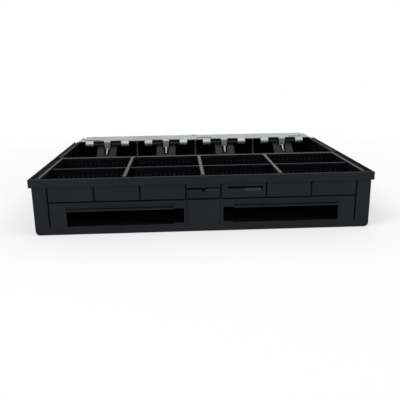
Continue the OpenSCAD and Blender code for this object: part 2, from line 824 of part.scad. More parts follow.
// Pan-head screws with a cross recess
module bar_screws() {
    dome_r = 1.45 * head_d / 2;
    recess_w = 0.12 * head_d;
    recess_l = 0.55 * head_d;
    recess_d = 0.5 * head_h;
    color("#8d9194")
        at_screws()
            translate([0, 0, bar_top]) {
                difference() {
                    rotate_extrude()
                        intersection() {
                            square([head_d / 2, head_h]);
                            translate([0, head_h - dome_r])
                                circle(dome_r);
                        }
                    for (turn = [0, 90])
                        rotate([0, 0, turn])
                            translate([0, 0, head_h])
                                cube([recess_l, recess_w, 2 * recess_d], center = true);
                }
                translate([0, 0, -screw_l])
                    cylinder(d = screw_d, h = screw_l);
            }
}

outer_tray();
coin_tray();
coin_divider(0);  // coin_divider_1
coin_divider(1);  // coin_divider_2
coin_divider(2);  // coin_divider_3
coin_divider(3);  // coin_divider_4
note_divider(0);  // note_divider_1
note_divider(1);  // note_divider_2
note_divider(2);  // note_divider_3
clip_bar();
clip_rod(0);  // clip_rod_1
clip_rod(1);  // clip_rod_2
clip_rod(2);  // clip_rod_3
clip_rod(3);  // clip_rod_4
note_clip(0);  // note_clip_1
note_clip(1);  // note_clip_2
note_clip(2);  // note_clip_3
note_clip(3);  // note_clip_4
clip_spring(0);  // clip_spring_1
clip_spring(1);  // clip_spring_2
clip_spring(2);  // clip_spring_3
clip_spring(3);  // clip_spring_4
bar_screws();
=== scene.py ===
import json
import math

import bmesh
import bpy
from mathutils import Matrix, Vector


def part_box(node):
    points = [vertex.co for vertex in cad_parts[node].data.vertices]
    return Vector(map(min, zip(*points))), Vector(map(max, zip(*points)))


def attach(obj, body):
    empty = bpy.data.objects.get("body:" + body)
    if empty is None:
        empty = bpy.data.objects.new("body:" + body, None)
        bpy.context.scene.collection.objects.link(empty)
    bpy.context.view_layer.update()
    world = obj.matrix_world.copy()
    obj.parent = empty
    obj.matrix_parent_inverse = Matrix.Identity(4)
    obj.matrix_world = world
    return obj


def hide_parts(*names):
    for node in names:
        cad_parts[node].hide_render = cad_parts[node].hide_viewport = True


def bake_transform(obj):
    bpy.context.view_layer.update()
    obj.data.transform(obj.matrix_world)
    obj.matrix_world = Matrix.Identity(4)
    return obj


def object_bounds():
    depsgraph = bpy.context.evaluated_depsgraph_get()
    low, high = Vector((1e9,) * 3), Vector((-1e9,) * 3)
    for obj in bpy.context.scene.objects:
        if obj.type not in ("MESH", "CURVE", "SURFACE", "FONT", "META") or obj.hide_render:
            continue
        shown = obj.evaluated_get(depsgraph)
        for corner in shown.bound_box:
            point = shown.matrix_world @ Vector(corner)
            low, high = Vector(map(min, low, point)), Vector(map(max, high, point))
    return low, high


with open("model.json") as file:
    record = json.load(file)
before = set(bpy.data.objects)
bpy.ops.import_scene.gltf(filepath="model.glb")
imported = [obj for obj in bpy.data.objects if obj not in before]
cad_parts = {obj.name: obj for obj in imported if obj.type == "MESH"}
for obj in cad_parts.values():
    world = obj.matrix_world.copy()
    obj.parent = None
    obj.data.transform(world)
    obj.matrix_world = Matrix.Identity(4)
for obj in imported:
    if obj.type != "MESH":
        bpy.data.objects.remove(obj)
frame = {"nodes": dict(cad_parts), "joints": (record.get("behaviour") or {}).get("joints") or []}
cad_low, cad_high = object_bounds()
cad = frame["nodes"]
MM = 0.001
BAYS = (1, 2, 3, 4)
NOTE_DIVIDERS = (1, 2, 3)


# Camera at the height and angle from which the insert was photographed
CAMERA_PLACE = Vector((-26.29, -710.92, 190.34)) * MM
CAMERA_YAW, CAMERA_DOWN, CAMERA_ROLL = (math.radians(a) for a in (2.294, 15.461, -0.896))
FRAME_PIXELS = 400
FOCAL_PIXELS = 506.61
SENSOR_WIDTH = 36.0
NEAREST_SEEN = 0.01


def place_camera():
    data = bpy.data.cameras.new("photo_camera")
    data.sensor_width = SENSOR_WIDTH
    data.lens = FOCAL_PIXELS / FRAME_PIXELS * SENSOR_WIDTH
    data.clip_start = NEAREST_SEEN
    camera = bpy.data.objects.new("photo_camera", data)
    bpy.context.scene.collection.objects.link(camera)
    turn = (Matrix.Rotation(-CAMERA_YAW, 4, "Z")
            @ Matrix.Rotation(math.pi / 2 - CAMERA_DOWN, 4, "X")
            @ Matrix.Rotation(CAMERA_ROLL, 4, "Z"))
    camera.matrix_world = Matrix.Translation(CAMERA_PLACE) @ turn
    bpy.context.scene.camera = camera


place_camera()


# Wiring of shader nodes

class Wiring:
    """Places nodes in one tree and joins their sockets."""

    def __init__(self, tree):
        self.tree = tree

    def add(self, kind, **settings):
        node = self.tree.nodes.new("ShaderNode" + kind)
        for name, value in settings.items():
            setattr(node, name, value)
        return node

    def feed(self, socket, value):
        if isinstance(value, bpy.types.NodeSocket):
            self.tree.links.new(value, socket)
        else:
            socket.default_value = value

    def math(self, operation, a, b=0.0, clamp=False):
        node = self.add("Math", operation=operation, use_clamp=clamp)
        self.feed(node.inputs[0], a)
        self.feed(node.inputs[1], b)
        return node.outputs[0]

    def mixed(self, a, share_a, b, share_b):
        """Two values added up by their shares."""
        return self.math("ADD", self.math("MULTIPLY", a, share_a), self.math("MULTIPLY", b, share_b))

    def between(self, value, low, high, to_low=0.0, to_high=1.0, smooth=False):
        node = self.add("MapRange", clamp=True)
        node.interpolation_type = "SMOOTHSTEP" if smooth else "LINEAR"
        for socket, v in zip(node.inputs[:5], (value, low, high, to_low, to_high)):
            self.feed(socket, v)
        return node.outputs["Result"]

    def blend(self, share, a, b):
        node = self.add("Mix", data_type="RGBA")
        self.feed(node.inputs["Factor"], share)
        self.feed(node.inputs[6], a)
        self.feed(node.inputs[7], b)
        return node.outputs[2]

    def place(self, stretch=(1.0, 1.0, 1.0)):
        """Where a point lies on the piece, in metres, stretched along the piece's axes."""
        here = self.add("TexCoord").outputs["Object"]
        scaled = self.add("VectorMath", operation="MULTIPLY")
        self.feed(scaled.inputs[0], here)
        scaled.inputs[1].default_value = stretch
        return scaled.outputs[0]

    def split(self, at):
        node = self.add("SeparateXYZ")
        self.feed(node.inputs[0], at)
        return node.outputs["X"], node.outputs["Y"], node.outputs["Z"]

    def facing(self):
        """The three parts of the direction in which a face looks."""
        return self.split(self.add("NewGeometry").outputs["Normal"])

    def above(self, value, limit):
        return self.math("GREATER_THAN", value, limit)

    def below(self, value, limit):
        return self.math("LESS_THAN", value, limit)

    def within(self, value, low, high):
        return self.math("MULTIPLY", self.above(value, low), self.below(value, high))

    def nearer(self, value, reach):
        """Marks values that lie nearer to nought than reach, on either side."""
        return self.below(self.math("ABSOLUTE", value), reach)

    def farther(self, value, reach):
        """Marks values that lie farther from nought than reach, on either side."""
        return self.above(self.math("ABSOLUTE", value), reach)

    def all_of(self, first, *others):
        for mask in others:
            first = self.math("MULTIPLY", first, mask)
        return first

    def noise(self, at, scale, detail=3.0, roughness=0.55):
        node = self.add("TexNoise")
        self.feed(node.inputs["Vector"], at)
        for name, value in (("Scale", scale), ("Detail", detail), ("Roughness", roughness)):
            self.feed(node.inputs[name], value)
        return node.outputs[0]

    def cells(self, at, scale):
        node = self.add("TexVoronoi")
        self.feed(node.inputs["Vector"], at)
        self.feed(node.inputs["Scale"], scale)
        return node


SOCKETS = {"value": "NodeSocketFloat", "colour": "NodeSocketColor"}
SKIN = [("Colour", "colour"), ("Roughness", "value"), ("Height", "value")]


def effect(name, takes, gives):
    """An empty shader group with named inputs and outputs, its wiring, and its two end nodes."""
    group = bpy.data.node_groups.new(name, "ShaderNodeTree")
    for label, kind, value in takes:
        socket = group.interface.new_socket(name=label, in_out="INPUT", socket_type=SOCKETS[kind])
        socket.default_value = value
    for label, kind in gives:
        group.interface.new_socket(name=label, in_out="OUTPUT", socket_type=SOCKETS[kind])
    wiring = Wiring(group)
    ends = group.nodes.new("NodeGroupInput"), group.nodes.new("NodeGroupOutput")
    return group, wiring, ends[0].outputs, ends[1].inputs


def marking(name, **measures):
    """An empty shader group that puts out one mask and takes the measures that the mask keeps to."""
    takes = [(label.replace("_", " "), "value", value) for label, value in measures.items()]
    return effect(name, takes, [("Mask", "value")])


# Where the marked faces of the tray, the bar and the clips lie, in metres of the part's frame
TUB_HALF_WIDTH, TUB_FRONT, TUB_REAR = 0.1868, -0.1541, 0.1548
TUB_FOOT, TUB_RIM = 0.0005, 0.0646
MEDIA_REAR, MEDIA_TOP = -0.0280, 0.0295
GROOVE_FRONT, GROOVE_FLOOR, GROOVE_TOP = -0.1571, -0.15575, 0.0640
COIN_TRAY_FRONT = -0.1530
CLIP_PITCH, CLIP_AXIS_Y, CLIP_AXIS_Z = 0.0944, 0.1107, 0.0613
SHEET_FOOT, SHEET_EDGE_REAR = 0.0650, 0.1140
SQUARE_ON = 0.7


def space_in_tub(name, rear, top):
    """Marks the faces between the tub's side walls, from its front wall back to rear and up to top."""
    group, w, takes, gives = marking(name, Half_Width=TUB_HALF_WIDTH, Front=TUB_FRONT, Rear=rear,
                                     Foot=TUB_FOOT, Top=top)
    x, y, z = w.split(w.place())
    w.feed(gives["Mask"], w.all_of(w.nearer(x, takes["Half Width"]),
                                   w.within(y, takes["Front"], takes["Rear"]),
                                   w.within(z, takes["Foot"], takes["Top"])))
    return group


def bay_side_walls():
    """Marks the upright side walls inside the tub, painted darker than its floor as shade."""
    group, w, takes, gives = marking("bay side walls painted shade", Half_Width=TUB_HALF_WIDTH, Front=TUB_FRONT,
                                     Rear=TUB_REAR, Rim=TUB_RIM, Least=SQUARE_ON)
    x, y, z = w.split(w.place())
    w.feed(gives["Mask"], w.all_of(w.nearer(x, takes["Half Width"]),
                                   w.within(y, takes["Front"], takes["Rear"]),
                                   w.below(z, takes["Rim"]), w.farther(w.facing()[0], takes["Least"])))
    return group


def sunk_lines():
    """Marks the floors and sides of the grooves and slits in the front wall, painted dark as shade."""
    group, w, takes, gives = marking("sunk lines painted shade", Half_Width=TUB_HALF_WIDTH, Front=GROOVE_FRONT,
                                     Floor=GROOVE_FLOOR, Back=TUB_FRONT, Top=GROOVE_TOP, Most=0.5)
    x, y, z = w.split(w.place())
    sideways = w.nearer(w.facing()[1], takes["Most"])
    sides = w.math("MULTIPLY", w.within(y, takes["Front"], takes["Back"]), sideways)
    deep = w.math("MAXIMUM", sides, w.within(y, takes["Floor"], takes["Back"]))
    w.feed(gives["Mask"], w.all_of(deep, w.nearer(x, takes["Half Width"]), w.below(z, takes["Top"])))
    return group


def rim_channel():
    """Marks the channel along the rim flange, painted dark as shade."""
    group, w, takes, gives = marking("rim channel painted shade", Inner=0.1860, Outer=0.1933, Foot=0.0625, Rim=TUB_RIM,
                                     Front=-0.1545, Rear=0.1108)
    x, y, z = w.split(w.place())
    w.feed(gives["Mask"], w.all_of(w.within(w.math("ABSOLUTE", x), takes["Inner"], takes["Outer"]),
                                   w.within(y, takes["Front"], takes["Rear"]),
                                   w.within(z, takes["Foot"], takes["Rim"])))
    return group


def centre_grooves():
    """Marks the shallow grooves beside the lower centre panel, painted light so that their shade hardly
    shows.
    """
    group, w, takes, gives = marking("centre grooves painted light", Inner=0.0178, Outer=0.0204, High=0.0371,
                                     Front=GROOVE_FRONT, Back=TUB_FRONT)
    x, y, z = w.split(w.place())
    w.feed(gives["Mask"], w.all_of(w.within(w.math("ABSOLUTE", x), takes["Inner"], takes["Outer"]),
                                   w.within(y, takes["Front"], takes["Back"]), w.below(z, takes["High"])))
    return group


def key_edge():
    """Marks the strip below the key slit, painted grey as a highlight."""
    group, w, takes, gives = marking("key edge painted highlight", Half_Width=0.0184, Low=0.0472, High=0.0496, Depth=-0.1556)
    x, y, z = w.split(w.place())
    w.feed(gives["Mask"], w.all_of(w.nearer(x, takes["Half Width"]), w.below(y, takes["Depth"]),
                                   w.within(z, takes["Low"], takes["High"])))
    return group


def tag_ledge():
    """Marks the sloping ledge below the tag slot, painted grey as a highlight."""
    group, w, takes, gives = marking("tag ledge painted highlight", Left=0.0467, Right=0.0668, Low=0.0466, High=0.0497,
                                     Depth=TUB_FRONT, Slope=-0.3)
    x, y, z = w.split(w.place())
    sloped = w.below(w.facing()[1], takes["Slope"])
    w.feed(gives["Mask"], w.all_of(w.within(x, takes["Left"], takes["Right"]), sloped,
                                   w.below(y, takes["Depth"]), w.within(z, takes["Low"], takes["High"])))
    return group


def cup_walls():
    """Marks what lies below the rounded rims of the coin cups, where coins keep the walls polished; their
    lighter tone is painted light in the shaded cups.
    """
    group, w, takes, gives = marking("cup walls polished and painted light", Rim=0.0620, Front=COIN_TRAY_FRONT)
    y, z = w.split(w.place())[1:]
    w.feed(gives["Mask"], w.all_of(w.below(z, takes["Rim"]), w.above(y, takes["Front"])))
    return group


def coin_tray_front():
    """Marks the front of the coin tray behind the front wall, painted dark as shade."""
    group, w, takes, gives = marking("coin tray front painted shade", Front=COIN_TRAY_FRONT)
    w.feed(gives["Mask"], w.below(w.split(w.place())[1], takes["Front"]))
    return group


def rib_tips():
    """Marks the tips of the ribs in the coin cups, painted grey here and there as highlights."""
    group, w, takes, gives = marking("rib tips painted highlights", Rear_From=0.0566, Front_From=0.0534, Between_Rows=-0.06)
    y, z = w.split(w.place())[1:]
    in_rear = w.above(y, takes["Between Rows"])
    # the tips are painted grey here and there as highlights
    tip = w.above(z, w.between(in_rear, 0.0, 1.0, takes["Front From"], takes["Rear From"]))
    rubbed_and_lit = w.between(w.noise(w.place(), scale=30.0), 0.42, 0.62)
    w.feed(gives["Mask"], w.math("MULTIPLY", tip, rubbed_and_lit))
    return group


def plate_sides():
    """Marks the flat sides of an upright plate, painted dark as shade."""
    group, w, takes, gives = marking("plate sides painted shade", Least=SQUARE_ON)
    w.feed(gives["Mask"], w.farther(w.facing()[0], takes["Least"]))
    return group


def near_clip(w, x, pitch, reach):
    """Marks what lies within reach of the middle of a clip, counted along the bar."""
    clips_from_end = w.math("ADD", w.math("DIVIDE", x, pitch), len(BAYS) / 2)
    share = w.math("FRACT", clips_from_end)
    off = w.math("MULTIPLY", w.math("ABSOLUTE", w.math("SUBTRACT", share, 0.5)), pitch)
    return w.below(off, reach)


def tongue_fronts():
    """Marks the front faces of the bar's tongues, painted darker as shade in what they reflect."""
    group, w, takes, gives = marking("tongue fronts painted shade", Clip_Pitch=CLIP_PITCH, Reach=0.0060, Top=SHEET_FOOT,
                                     Least=-SQUARE_ON)
    x, z = w.split(w.place())[::2]
    w.feed(gives["Mask"], w.all_of(near_clip(w, x, takes["Clip Pitch"], takes["Reach"]),
                                   w.below(z, takes["Top"]), w.below(w.facing()[1], takes["Least"])))
    return group


def clip_slot_sides():
    """Marks the side faces of the slot in a clip, painted dark as shade."""
    group, w, takes, gives = marking("clip slot sides painted shade", Clip_Pitch=CLIP_PITCH, Reach=0.0070, Least=SQUARE_ON)
    inside = near_clip(w, w.split(w.place())[0], takes["Clip Pitch"], takes["Reach"])
    w.feed(gives["Mask"], w.math("MULTIPLY", inside, w.farther(w.facing()[0], takes["Least"])))
    return group


def sheet_edge():
    """Marks the front edge of the bar's sheet, painted darker than its faces as shade."""
    group, w, takes, gives = marking("sheet edge painted shade", Foot=SHEET_FOOT, Behind=SHEET_EDGE_REAR, Least=-0.9)
    y, z = w.split(w.place())[1:]
    w.feed(gives["Mask"], w.all_of(w.above(z, takes["Foot"]), w.below(y, takes["Behind"]),
                                   w.below(w.facing()[1], takes["Least"])))
    return group


def slot_walls():
    """Marks the cut faces of the bar's slots and holes that look to the front, painted dark as shade."""
    group, w, takes, gives = marking("slot walls painted shade", Behind=SHEET_EDGE_REAR, Least=-0.5)
    behind = w.above(w.split(w.place())[1], takes["Behind"])
    w.feed(gives["Mask"], w.math("MULTIPLY", behind, w.below(w.facing()[1], takes["Least"])))
    return group


def clip_hubs():
    """Marks the hubs of a clip round the axis of its rod, painted lighter as light on them."""
    group, w, takes, gives = marking("clip hubs painted light", Axis_Y=CLIP_AXIS_Y, Axis_Z=CLIP_AXIS_Z, Radius=0.0036)
    y, z = w.split(w.place())[1:]
    back, up = w.math("SUBTRACT", y, takes["Axis Y"]), w.math("SUBTRACT", z, takes["Axis Z"])
    squares = w.math("ADD", w.math("MULTIPLY", back, back), w.math("MULTIPLY", up, up))
    w.feed(gives["Mask"], w.below(w.math("SQRT", squares), takes["Radius"]))
    return group


def edge_wear_and_highlights():
    """Where hands and coins rub the sharp edges, broken up so that no edge is rubbed all along; the lighter
    tone on these edges is also a painted highlight.
    """
    group, w, takes, gives = marking("edge wear and painted highlights", Width=0.0008, Amount=0.5)
    rounded = w.add("Bevel", samples=4)
    w.feed(rounded.inputs["Radius"], takes["Width"])
    facing = w.add("VectorMath", operation="DOT_PRODUCT")
    w.feed(facing.inputs[0], rounded.outputs[0])
    w.feed(facing.inputs[1], w.add("NewGeometry").outputs["Normal"])
    edge = w.between(facing.outputs["Value"], 0.985, 0.80)
    broken = w.between(w.noise(w.place(), scale=90.0, detail=4.0, roughness=0.65), 0.40, 0.62)
    w.feed(gives["Mask"], w.all_of(edge, broken, takes["Amount"]))
    return group


def fine_scuffs():
    """Hair-fine scratches in two crossing directions."""
    group, w, takes, gives = marking("fine scuffs", Amount=0.3)
    crossing = []
    for stretch, scale in (((12.0, 1.0, 5.0), 70.0), ((1.0, 14.0, 5.0), 55.0)):
        thread = w.noise(w.place(stretch), scale, detail=2.0, roughness=0.5)
        crossing.append(w.between(w.math("ABSOLUTE", w.math("SUBTRACT", thread, 0.5)), 0.010, 0.0))
    patches = w.between(w.noise(w.place(), scale=22.0, detail=2.0), 0.48, 0.62)
    w.feed(gives["Mask"], w.all_of(w.math("MAXIMUM", *crossing), patches, takes["Amount"]))
    return group


def settled_dust():
    """A faint film of dust on what faces up."""
    group, w, takes, gives = marking("settled dust", Amount=0.1)
    flat = w.between(w.facing()[2], 0.75, 1.0)
    specks = w.between(w.noise(w.place(), scale=420.0, detail=5.0, roughness=0.7), 0.45, 0.75)
    drift = w.between(w.noise(w.place(), scale=17.0), 0.3, 0.7, 0.35, 1.0)
    w.feed(gives["Mask"], w.all_of(flat, specks, drift, takes["Amount"]))
    return group


def moulding_grain():
    """Spark-eroded skin of a moulding: fine grain, and slow changes of tone and gloss from the flow."""
    group, w, takes, gives = effect(
        "moulding grain",
        [("Tone", "colour", (0.01, 0.01, 0.012, 1)), ("Flow Tone", "colour", (0.014, 0.014, 0.016, 1)),
         ("Grain Size", "value", 0.0008), ("Smooth", "value", 0.4), ("Rough", "value", 0.6)], SKIN)
    per_metre = w.math("DIVIDE", 1.0, takes["Grain Size"])
    flow = w.noise(w.place((1.0, 0.35, 1.0)), scale=14.0, detail=4.0)
    grain = w.noise(w.place(), per_metre, detail=2.0, roughness=0.6)
    pits = w.cells(w.place(), w.math("MULTIPLY", per_metre, 0.6)).outputs["Distance"]
    flow_share, grain_share = w.between(flow, 0.35, 0.65, 0.0, 0.75), w.between(grain, 0.3, 0.7, 0.0, 0.25)
    tone_share = w.math("ADD", flow_share, grain_share)
    w.feed(gives["Colour"], w.blend(tone_share, takes["Tone"], takes["Flow Tone"]))
    gloss = w.mixed(flow, 0.6, grain, 0.4)
    w.feed(gives["Roughness"], w.between(gloss, 0.35, 0.65, takes["Smooth"], takes["Rough"]))
    w.feed(gives["Height"], w.mixed(grain, 0.6, pits, 0.4))
    return group


def zinc_spangle():
    """Crystals of hot-dip zinc: each has its own tone and dullness, with fine rolling lines across them."""
    group, w, takes, gives = effect(
        "zinc spangle",
        [("Dark", "colour", (0.365, 0.384, 0.378, 1)), ("Light", "colour", (0.490, 0.510, 0.502, 1)),
         ("Crystal Size", "value", 0.006), ("Smooth", "value", 0.50), ("Rough", "value", 0.66)], SKIN)
    crystals = w.cells(w.place(), w.math("DIVIDE", 1.0, takes["Crystal Size"]))
    hue = w.add("SeparateColor")
    w.feed(hue.inputs[0], crystals.outputs["Color"])
    rolled = w.noise(w.place((0.05, 1.0, 1.0)), scale=1500.0, detail=2.0)
    cloud = w.noise(w.place(), scale=25.0, detail=4.0)
    tone = w.mixed(hue.outputs[0], 0.35, cloud, 0.65)
    w.feed(gives["Colour"], w.blend(w.between(tone, 0.2, 0.8), takes["Dark"], takes["Light"]))
    dull = w.mixed(hue.outputs[1], 0.6, rolled, 0.4)
    w.feed(gives["Roughness"], w.between(dull, 0.1, 0.9, takes["Smooth"], takes["Rough"]))
    w.feed(gives["Height"], w.math("ADD", rolled, w.math("MULTIPLY", crystals.outputs["Distance"], 0.3)))
    return group


def drawn_lines():
    """Lines that a die leaves along a drawn rod or wire, and a few dull spots."""
    group, w, takes, gives = effect(
        "drawn lines",
        [("Dark", "colour", (0.35, 0.36, 0.37, 1)), ("Light", "colour", (0.55, 0.56, 0.57, 1)),
         ("Smooth", "value", 0.18), ("Rough", "value", 0.34)], SKIN)
    lines = w.noise(w.place((0.02, 1.0, 1.0)), scale=2600.0, detail=2.0)
    spots = w.noise(w.place(), scale=160.0, detail=4.0, roughness=0.65)
    share = w.between(w.mixed(lines, 0.5, spots, 0.5), 0.3, 0.7)
    w.feed(gives["Colour"], w.blend(share, takes["Dark"], takes["Light"]))
    w.feed(gives["Roughness"], w.between(share, 0.0, 1.0, takes["Rough"], takes["Smooth"]))
    w.feed(gives["Height"], lines)
    return group


# The inside of the tub is smooth from a polished mould; the slots in the front show the media spaces, which
# are painted lighter as light coming in through the slots
INSIDE = space_in_tub("inside of tub", TUB_REAR, TUB_RIM)
MEDIA_LIGHT = space_in_tub("media spaces", MEDIA_REAR, MEDIA_TOP)
BAY_SIDE_SHADE, SUNK_SHADE, CHANNEL_SHADE, CENTRE_GROOVE_LIGHT = bay_side_walls(), sunk_lines(), rim_channel(), centre_grooves()
KEY_EDGE_HIGHLIGHT, LEDGE_HIGHLIGHT = key_edge(), tag_ledge()
CUP_WALLS_POLISHED_AND_LIT, COIN_FRONT_SHADE, TIP_HIGHLIGHTS, PLATE_SIDE_SHADE = cup_walls(), coin_tray_front(), rib_tips(), plate_sides()
TONGUE_SHADE, SHEET_EDGE_SHADE, SLOT_WALL_SHADE = tongue_fronts(), sheet_edge(), slot_walls()
HUB_LIGHT, CLIP_SLOT_SHADE = clip_hubs(), clip_slot_sides()
EDGE_WEAR_AND_HIGHLIGHT, SCUFFS, DUST = edge_wear_and_highlights(), fine_scuffs(), settled_dust()
GRAIN, SPANGLE, DRAWN = moulding_grain(), zinc_spangle(), drawn_lines()


# Finishes

def finish_of(name, **shader):
    """A new material, its wiring and its shader, with the shader's plain values set on its own sockets."""
    material = bpy.data.materials.new(name)
    material.use_nodes = True
    w = Wiring(material.node_tree)
    surface = next(n for n in material.node_tree.nodes if n.type == "BSDF_PRINCIPLED")
    for label, value in shader.items():
        surface.inputs[label.replace("_", " ")].default_value = value
    return material, w, surface


def placed(w, group, **values):
    node = w.add("Group")
    node.node_tree = group
    for label, value in values.items():
        w.feed(node.inputs[label.replace("_", " ")], value)
    return node.outputs


def bump(w, surface, height, depth, strength):
    node = w.add("Bump")
    node.inputs["Strength"].default_value = strength
    node.inputs["Distance"].default_value = depth
    w.feed(node.inputs["Height"], height)
    w.feed(surface.inputs["Normal"], node.outputs[0])


PATCH_SHARE = 0.92
PLASTIC_IOR = 1.49
# The two edge tones, for plastic and for zinc, are partly wear and partly painted highlight.
EDGE_WEAR_AND_HIGHLIGHT_TONE, SCUFF_TONE = (0.050, 0.051, 0.054, 1), (0.060, 0.060, 0.062, 1)
DUST_TONE, DUST_ON_METAL = (0.20, 0.19, 0.18, 1), (0.30, 0.29, 0.27, 1)
ZINC_SCRATCH, ZINC_EDGE_WEAR_AND_HIGHLIGHT = (0.62, 0.63, 0.62, 1), (0.66, 0.67, 0.66, 1)
RUB_POLISH, SCUFF_DULL, DUST_DULL = -0.12, 0.15, 0.3


def plastic(name, tone, flow_tone, grain, smooth, rough, gloss, edge, dust, scuff, patches):
    """Black moulded plastic with its grain and wear, its edges lighter partly from wear and partly as
    painted highlight; a patch of it has its own tone and roughness, and several patches are painted light or
    shade.
    """
    material, w, surface = finish_of(name, IOR=PLASTIC_IOR, Specular_IOR_Level=gloss)
    skin = placed(w, GRAIN, Tone=(*tone, 1), Flow_Tone=(*flow_tone, 1), Grain_Size=grain,
                  Smooth=smooth, Rough=rough)
    colour, roughness = skin["Colour"], skin["Roughness"]
    for patch, patch_tone, patch_rough in patches:
        share = w.math("MULTIPLY", placed(w, patch)["Mask"], PATCH_SHARE)
        colour = w.blend(share, colour, (*patch_tone, 1))
        roughness = w.between(share, 0.0, 1.0, roughness, patch_rough)
    # lighter edges: partly wear, partly painted highlight
    rubbed_and_lit = placed(w, EDGE_WEAR_AND_HIGHLIGHT, Width=0.0007, Amount=edge)["Mask"]
    scuffed = placed(w, SCUFFS, Amount=scuff)["Mask"]
    dusty = placed(w, DUST, Amount=dust)["Mask"]
    worn_and_lit = w.blend(scuffed, w.blend(rubbed_and_lit, colour, EDGE_WEAR_AND_HIGHLIGHT_TONE), SCUFF_TONE)
    w.feed(surface.inputs["Base Color"], w.blend(dusty, worn_and_lit, DUST_TONE))
    marks = w.mixed(rubbed_and_lit, RUB_POLISH, scuffed, SCUFF_DULL)
    dulled = w.math("ADD", marks, w.math("MULTIPLY", dusty, DUST_DULL))
    w.feed(surface.inputs["Roughness"], w.math("ADD", roughness, dulled, clamp=True))
    bump(w, surface, skin["Height"], depth=0.00006, strength=0.35)
    return material


def zinc_sheet(name, patches):
    """Galvanised sheet steel with bright scratches, and edges bright partly from wear and partly as painted
    highlight; a patch has its own tone, painted darker as shade.
    """
    material, w, surface = finish_of(name, Metallic=1.0, Specular_Tint=(0.30, 0.31, 0.30, 1))
    skin = placed(w, SPANGLE)
    scuffed = placed(w, SCUFFS, Amount=0.5)["Mask"]
    # lighter edges: partly wear, partly painted highlight
    rubbed_and_lit = placed(w, EDGE_WEAR_AND_HIGHLIGHT, Width=0.0005, Amount=0.6)["Mask"]
    colour = w.blend(rubbed_and_lit, w.blend(scuffed, skin["Colour"], ZINC_SCRATCH), ZINC_EDGE_WEAR_AND_HIGHLIGHT)
    for patch, patch_tone in patches:
        share = w.math("MULTIPLY", placed(w, patch)["Mask"], PATCH_SHARE)
        colour = w.blend(share, colour, (*patch_tone, 1))
    w.feed(surface.inputs["Base Color"], colour)
    dulled = w.math("MULTIPLY", scuffed, SCUFF_DULL)
    w.feed(surface.inputs["Roughness"], w.math("ADD", skin["Roughness"], dulled))
    bump(w, surface, skin["Height"], depth=0.00003, strength=0.25)
    return material


def drawn_metal(name, dark, light, smooth, rough, edge_tint=1.0):
    """Drawn rod or wire with the lines of its die and a trace of dust."""
    material, w, surface = finish_of(name, Metallic=1.0, Specular_Tint=(edge_tint, edge_tint, edge_tint, 1))
    skin = placed(w, DRAWN, Dark=(*dark, 1), Light=(*light, 1), Smooth=smooth, Rough=rough)
    dusty = placed(w, DUST, Amount=0.08)["Mask"]
    w.feed(surface.inputs["Base Color"], w.blend(dusty, skin["Colour"], DUST_ON_METAL))
    w.feed(surface.inputs["Roughness"], skin["Roughness"])
    bump(w, surface, skin["Height"], depth=0.00002, strength=0.25)
    return material


TRAY = plastic("grained charcoal plastic", tone=(0.0117, 0.0134, 0.0167), flow_tone=(0.0156, 0.0174, 0.0210),
               grain=0.0009, smooth=0.72, rough=0.84, gloss=0.10, edge=0.35, dust=0.02, scuff=0.20,
               patches=((INSIDE, (0.0135, 0.0124, 0.0152), 0.14),
                        # the side walls inside the tub are painted dark as shade
                        (BAY_SIDE_SHADE, (0.0045, 0.0040, 0.0052), 0.14),
                        # the media spaces behind the slots are painted lighter as light coming in through
                        # the slots
                        (MEDIA_LIGHT, (0.0380, 0.0330, 0.0420), 0.60),
                        # the grooves and slits in the front wall are painted dark as shade
                        (SUNK_SHADE, (0.0008, 0.0008, 0.0011), 0.95),
                        # the grooves beside the lower centre panel are painted light to hide their shade
                        (CENTRE_GROOVE_LIGHT, (0.0340, 0.0350, 0.0380), 0.90),
                        # the channel along the rim flange is painted dark as shade
                        (CHANNEL_SHADE, (0.0034, 0.0036, 0.0040), 0.95),
                        # the strip below the key slit is painted grey as a highlight
                        (KEY_EDGE_HIGHLIGHT, (0.0250, 0.0260, 0.0290), 0.72),
                        # the ledge below the tag slot is painted grey as a highlight
                        (LEDGE_HIGHLIGHT, (0.0380, 0.0390, 0.0420), 0.70)))
# the divider plastic's lighter tone is painted light on its shaded front edges
POST = plastic("charcoal divider plastic", tone=(0.0270, 0.0280, 0.0310), flow_tone=(0.0340, 0.0350, 0.0380),
               grain=0.0009, smooth=0.60, rough=0.74, gloss=0.12, edge=0.35, dust=0.02, scuff=0.20,
               # the flat sides of the dividers are painted dark as shade
               patches=((PLATE_SIDE_SHADE, (0.0030, 0.0030, 0.0038), 0.30),))
COIN = plastic("smooth black plastic", tone=(0.0020, 0.0021, 0.0027), flow_tone=(0.0030, 0.0032, 0.0040),
               grain=0.0006, smooth=0.34, rough=0.46, gloss=0.14, edge=0.20, dust=0.015, scuff=0.25,
               # the cup walls are smoother, and their lighter tone is painted light in the shaded cups
               patches=((CUP_WALLS_POLISHED_AND_LIT, (0.0052, 0.0046, 0.0062), 0.14),
                        # the front of the coin tray is painted dark as shade
                        (COIN_FRONT_SHADE, (0.0008, 0.0008, 0.0010), 0.95)))
